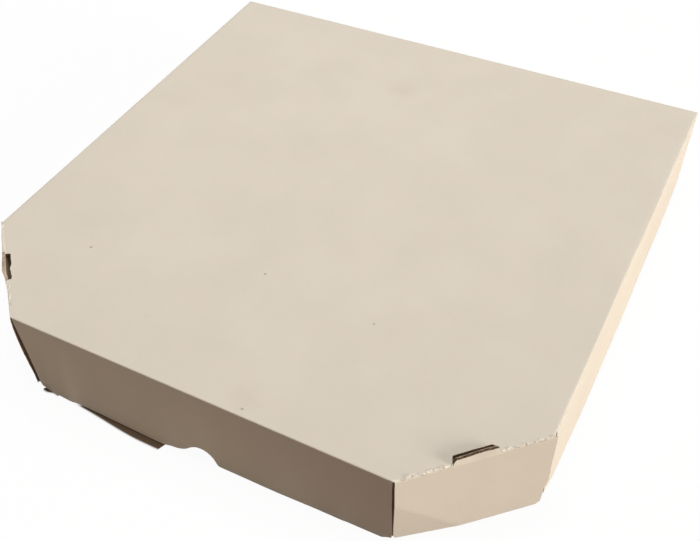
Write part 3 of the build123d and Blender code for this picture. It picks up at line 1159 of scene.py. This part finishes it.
class CreaseFlecks(bpy.types.Operator):
    """Makes the torn flecks of liner, and the dark pieces of painted shade in the breaks between them, along
    the creases of the cut corners
    """

    bl_idname = "pizza_box.crease_flecks"
    bl_label = "Torn creases"

    # Beside the tab the crease is not torn: end of the first stretch and start of the second, in mm
    tab_gap = (24.2, 47.4)
    parts = 10

    # Limits of each fleck's random step in mm, of its share of the size, and of its tilt in radians
    steps = (1.1, 1.1, 0.04)
    shares = ((0.45, 0.6, 0.5), (1.15, 1.15, 1.1))
    tilts = ((-0.30, -0.10, -0.4), (0.30, 0.16, 0.4))

    def execute(self, context):
        sheet = context.scene.pizza_sheet
        sizes = context.scene.pizza_creases
        whole = Vector((sizes.length, sizes.width, sizes.height))
        thin = Vector((whole.x * 0.4, whole.y * 0.2, whole.z * 0.7))
        for side, place in ((1, "right"), (-1, "left")):
            # In mm: how far inside the crease, and how far below the top
            for kind, paper, inside, drop, size, seed in (
                ("flecks", TORN, 0.55, -0.02, whole, sizes.seed),
                # The breaks are dark pieces of painted shade, set a little below the top
                ("breaks", SLIT, 0.02, 0.42, thin, sizes.seed + 20),
            ):
                if side == -1:
                    inside, drop = inside + 0.5, drop + 0.14
                guide = self.guide(sheet, side, inside, drop)
                values = {"Spacing": sizes.spacing, "Size": size, "Seed": seed + side}
                values["Finish"] = finish(paper)
                baked(context, guide, self.tree(), values, f"crease_{kind}_{place}", "lid")
        return {"FINISHED"}

    def guide(self, sheet, side, inside, drop):
        """Two lines along the crease of a cut corner, one on each side of its tab."""
        origin, along, out = bevel_frame(sheet, side)
        length = sheet.bevel_leg * ROOT_TWO / MM
        points, sides = [], []
        for first, last in ((3.0, self.tab_gap[0]), (self.tab_gap[1], length - 2.0)):
            sides += [(len(points) + k, len(points) + k + 1) for k in range(self.parts)]
            for k in range(self.parts + 1):
                s = first + (last - first) * k / self.parts
                n = follow(CREASE_BOWS[side], s) - inside
                points.append(origin + along * s * MM + out * n * MM - UP * drop * MM)
        guide = bpy.data.meshes.new("crease_guide")
        guide.from_pydata(points, sides, [])
        return guide

    def tree(self):
        """Scatters flattened, pointed flecks along the line of a crease."""
        if "Torn crease" in bpy.data.node_groups:
            return bpy.data.node_groups["Torn crease"]
        sockets = {"Spacing": "Float", "Size": "Vector", "Seed": "Int", "Finish": "Material"}
        tree = node_tree("Torn crease", sockets)
        r = Recipe(tree)
        given = r.given
        seed = given["Seed"]
        line = r.add("GeometryNodeMeshToCurve", None, {0: given["Geometry"]})[0]
        values = {"Curve": line, "Length": given["Spacing"]}
        spots = r.add("GeometryNodeCurveToPoints", {"mode": "LENGTH"}, values)
        step = r.random([-size * MM for size in self.steps], [size * MM for size in self.steps], seed)
        along = r.scaled(spots["Tangent"], r.dot(step, spots["Tangent"]))
        moved = r.add("GeometryNodeSetPosition", None, {"Geometry": spots["Points"], "Offset": along})[0]
        values = {"Vertices": 7, "Radius Top": 0.12, "Radius Bottom": 0.5, "Depth": 1.0}
        lump = r.add("GeometryNodeMeshCone", None, values)[0]
        size = r.random(*self.shares, r.sum("ADD", seed, 5))
        size = r.add("ShaderNodeVectorMath", {"operation": "MULTIPLY"}, {0: size, 1: given["Size"]})[0]
        parts = r.add("ShaderNodeSeparateXYZ", None, {0: size})
        size = r.add("ShaderNodeCombineXYZ", None, {0: parts[2], 1: parts[1], 2: parts[0]})[0]
        values = {"Primary Axis": spots["Tangent"], "Secondary Axis": (0.0, 0.0, 1.0)}
        way = r.add("FunctionNodeAxesToRotation", {"primary_axis": "Z", "secondary_axis": "X"}, values)[0]
        tilt = r.random(*self.tilts, r.sum("ADD", seed, 9))
        turned = r.add("FunctionNodeEulerToRotation", None, {0: tilt})[0]
        spun = r.add("FunctionNodeRotateRotation", {"rotation_space": "LOCAL"}, {0: way, 1: turned})[0]
        values = {"Points": moved, "Instance": lump, "Rotation": spun, "Scale": size}
        r.end(r.add("GeometryNodeInstanceOnPoints", None, values)[0], given["Finish"])
        return tree


class TrayFinish(bpy.types.Operator):
    """Gives the tray its papers: bleached outside, unbleached inside, crushed paper on the upper edges"""

    bl_idname = "pizza_box.tray_finish"
    bl_label = "Tray"

    # How far the tray's corner walls stand inside the creases of the lid
    bevel_wall_in = 2.3 * MM

    def execute(self, context):
        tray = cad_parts["tray"]
        made = bpy.data.materials.new("tray_board")
        made.use_nodes = True
        shader = Shader(made.node_tree)
        colours = context.scene.pizza_colours
        self.paint(shader, colours, context.scene.pizza_sheet)
        tray.data.materials.clear()
        tray.data.materials.append(made)
        return {"FINISHED"}

    def outside(self, shader, sheet):
        """1 on the outer side of the tray's walls and base."""
        low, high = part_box("tray")
        x, y, z = shader.parts(shader.spot)
        hair = 0.05 * MM
        found = x.size().over(high.x - 2 * hair, high.x - hair)
        found = found.most(y.over(high.y - 2 * hair, high.y - hair))
        found = found.most(1 - y.over(low.y + hair, low.y + 2 * hair))
        found = found.most(1 - z.over(hair, 2 * hair))
        line = HALF_WIDTH + HALF_DEPTH - sheet.bevel_leg - self.bevel_wall_in * ROOT_TWO
        return found.most((x.size() - y).over(line - 3 * hair, line - 2 * hair))

    def paint(self, shader, colours, sheet):
        """Bleached paper outside, unbleached paper inside with a painted glow, crushed paper on the upper
        edges.
        """
        outside = self.outside(shader, sheet)
        brown, clouds, fibres = kraft(shader, colours.inner, 0.94, 1.05)
        white = shader.tint(clouds.over(0.3, 0.7), shade(colours.outer, 0.97), shade(colours.outer, 1.02))
        white = shader.tint(fibres.over(0.45, 0.8) * 0.25, white, shade(colours.outer, 1.06))
        facing = Wire(shader, shader.node("ShaderNodeNewGeometry").outputs["Normal"])
        z = shader.parts(shader.spot)[2]
        rim = shader.parts(facing)[2].over(0.85, 0.95) * z.over(TOP - 10 * MM, TOP - 4 * MM)
        crush = shader.noise(900, 3, 0.6).over(0.3, 0.7)
        edge = shader.tint(crush, shade(colours.cut, (0.55, 0.5, 0.44)), shade(colours.cut, 1.1))
        colour = shader.tint(rim, shader.tint(outside, brown, white), edge)
        # Painted glow: a faint emission on the inside of the tray for light that would reach into the closed
        # box
        painted_glow = shader.tint(outside.most(rim), tuple(colours.through), (0.0, 0.0, 0.0))
        shader.paper(colour, 0.66 + (fibres - 0.5) * 0.1, shader.bump(fibres, 0.3, 0.06 * MM), painted_glow)


class Stage(bpy.types.Operator):
    """Makes the floor, the light and the camera"""

    bl_idname = "pizza_box.stage"
    bl_label = "Stage"

    camera_place = (0.180001663895, -0.331602713468, 0.365331066478)
    camera_turn = (41.381599376, 1.805253651, 27.926905013)
    camera_shift = (0.0242857, 0.085)
    key_from = (0.992, 0.022, 0.12)
    top_place = (-0.03, 0.16, 1.25)

    # Painted contact shadow on the floor: places along x, in metres, over which its two strips begin and
    # end, then its colour
    long_strip = ((-0.079, -0.030), (-0.0215, -0.0195))
    short_strip = ((-0.097, -0.093), (-0.091, -0.086))
    painted_shadow_colour = (0.19, 0.132, 0.088)

    # Painted shade: to the right the table's colour is darker, so it throws less light back, most of it red
    shade_from = (0.01, 0.15)
    shaded = (0.38, 0.08, 0.0)

    floor_reach = 3.0
    floor_level = -0.02 * MM

    def execute(self, context):
        sizes = context.scene.pizza_stage
        self.floor(context, sizes)
        self.world(context, sizes)
        key = self.lamp(context, "key_light", "SUN", sizes.key_strength, sizes.key_colour)
        key.data.angle = sizes.key_spread
        key.rotation_euler = Vector(self.key_from).to_track_quat("Z", "Y").to_euler()
        top = self.lamp(context, "top_light", "AREA", sizes.top_power, sizes.top_colour)
        top.data.size = sizes.top_width
        top.location = self.top_place
        view = bpy.data.cameras.new("camera")
        view.lens = sizes.lens
        view.sensor_width = 36.0
        view.sensor_fit = "HORIZONTAL"
        view.shift_x, view.shift_y = self.camera_shift
        view.clip_start = 0.01
        camera = bpy.data.objects.new("camera", view)
        camera.location = self.camera_place
        camera.rotation_euler = [math.radians(a) for a in self.camera_turn]
        context.scene.collection.objects.link(camera)
        context.scene.camera = camera
        context.scene.view_settings.view_transform = "Standard"
        return {"FINISHED"}

    def lamp(self, context, name, kind, strength, colour):
        """A light, not yet placed."""
        lamp = bpy.data.lights.new(name, kind)
        lamp.energy = strength
        lamp.color = colour
        made = bpy.data.objects.new(name, lamp)
        context.scene.collection.objects.link(made)
        return made

    def seen(self, shader):
        """1 for what the camera sees directly or in a gloss, 0 for light that falls on the box."""
        path = shader.node("ShaderNodeLightPath").outputs
        kinds = ("Camera", "Glossy", "Transmission")
        direct, gloss, through = (Wire(shader, path[f"Is {kind} Ray"]) for kind in kinds)
        return direct.most(gloss).most(through)

    def world(self, context, sizes):
        """A sky that lights the box softly and looks white."""
        world = bpy.data.worlds.new("studio")
        world.use_nodes = True
        shader = Shader(world.node_tree)
        colour = shader.tint(self.seen(shader), tuple(sizes.sky), (1.0, 1.0, 1.0))
        light = shader.node("ShaderNodeBackground", None, {"Color": colour, "Strength": 1.0})
        shader.node("ShaderNodeOutputWorld", None, {"Surface": Wire(shader, light.outputs[0])})
        context.scene.world = world

    def painted_contact_shadow(self, shader):
        """1 on two strips of table in front of the box that are painted with a dark shadow colour; the
        strips are drawn at set places and kept only where ambient occlusion finds the box close by.
        """
        x, y, _ = shader.parts(shader.spot)
        # In metres in front of the box: the long strip is wider, and the short one lies further back
        strips = (self.long_strip, self.short_strip)
        long, short = (x.over(*start) * (1 - x.over(*end)) for start, end in strips)
        front = -HALF_DEPTH - 0.0026 - long * 0.0038 + short * (x.over(-0.096, -0.088) * 0.0014 - 0.0008)
        back = -HALF_DEPTH - 0.0020 + short * 0.0022
        strip = (y - front).over(-0.0010, 0.0005) * (1 - y.over(back, back + 0.0004))
        shut = shader.node("ShaderNodeAmbientOcclusion", {"samples": 32}, {"Distance": 0.007})
        near = (1 - Wire(shader, shut.outputs["AO"])).over(0.07, 0.13)
        return strip * long.most(short).over(0.0, 0.08) * near

    def mixed(self, shader, factor, first, second):
        """A mix of two shader nodes."""
        values = {0: factor, 1: Wire(shader, first.outputs[0]), 2: Wire(shader, second.outputs[0])}
        return shader.node("ShaderNodeMixShader", None, values)

    def floor(self, context, sizes):
        """A floor that looks white and throws the colour of a table back on the box, with a painted contact
        shadow in front of it.
        """
        mesh = bpy.data.meshes.new("floor")
        corners = ((-1, -1), (1, -1), (1, 1), (-1, 1))
        points = [(a * self.floor_reach, b * self.floor_reach, self.floor_level) for a, b in corners]
        mesh.from_pydata(points, [], [(0, 1, 2, 3)])
        floor = bpy.data.objects.new("floor", mesh)
        context.scene.collection.objects.link(floor)
        made = bpy.data.materials.new("pale_floor")
        made.use_nodes = True
        shader = Shader(made.node_tree)
        strip = self.painted_contact_shadow(shader)
        # Painted shadow: the floor turns a dark brown on the strips
        colour = shader.tint(strip, (1.0, 1.0, 1.0), self.painted_shadow_colour)
        white = shader.node("ShaderNodeEmission", None, {"Color": (1, 1, 1, 1), "Strength": 1.0})
        paper = shader.node("ShaderNodeBsdfDiffuse", None, {"Color": colour})
        x = shader.parts(shader.spot)[0]
        lit = shader.tint(x.over(*self.shade_from), tuple(sizes.bounce), shade(sizes.bounce, self.shaded))
        table = shader.node("ShaderNodeBsdfDiffuse", None, {"Color": lit})
        shown = self.mixed(shader, (0.05 + strip).least(1.0), white, paper)
        both = self.mixed(shader, self.seen(shader), table, shown)
        shader.node("ShaderNodeOutputMaterial", None, {"Surface": Wire(shader, both.outputs[0])})
        mesh.materials.append(made)


class PizzaBoxPanel(bpy.types.Panel):
    """Lists the pieces of the pizza box and their sizes"""

    bl_idname = "VIEW3D_PT_pizza_box"
    bl_label = "Pizza box"
    bl_space_type = "VIEW_3D"
    bl_region_type = "UI"
    bl_category = "Pizza box"

    def draw(self, context):
        layout = self.layout
        for step in STEPS:
            layout.operator(step.bl_idname)
        for group in GROUPS:
            box = layout.box()
            values = getattr(context.scene, group)
            for key in values.bl_rna.properties.keys():
                if key not in ("rna_type", "name"):
                    box.prop(values, key)


STEPS = (LidPanel, SideFlaps, FrontFlap, BevelFlaps, CreaseFlecks, TrayFinish, Stage)
GROUPS = {
    "pizza_sheet": SheetSizes,
    "pizza_flutes": FluteSizes,
    "pizza_creases": CreaseSizes,
    "pizza_colours": PaperColours,
    "pizza_stage": StageSizes,
}


def register():
    for group, kind in GROUPS.items():
        bpy.utils.register_class(kind)
        setattr(bpy.types.Scene, group, PointerProperty(type=kind))
    for step in STEPS + (PizzaBoxPanel,):
        bpy.utils.register_class(step)


def unregister():
    for step in (PizzaBoxPanel,) + STEPS[::-1]:
        bpy.utils.unregister_class(step)
    for group, kind in GROUPS.items():
        delattr(bpy.types.Scene, group)
        bpy.utils.unregister_class(kind)


def main():
    register()
    bpy.ops.pizza_box.lid_panel()
    bpy.ops.pizza_box.side_flaps()
    bpy.ops.pizza_box.front_flap()
    bpy.ops.pizza_box.bevel_flaps()
    bpy.ops.pizza_box.crease_flecks()
    bpy.ops.pizza_box.tray_finish()
    bpy.ops.pizza_box.stage()
    bpy.context.view_layer.update()


if __name__ == "__main__":
    main()
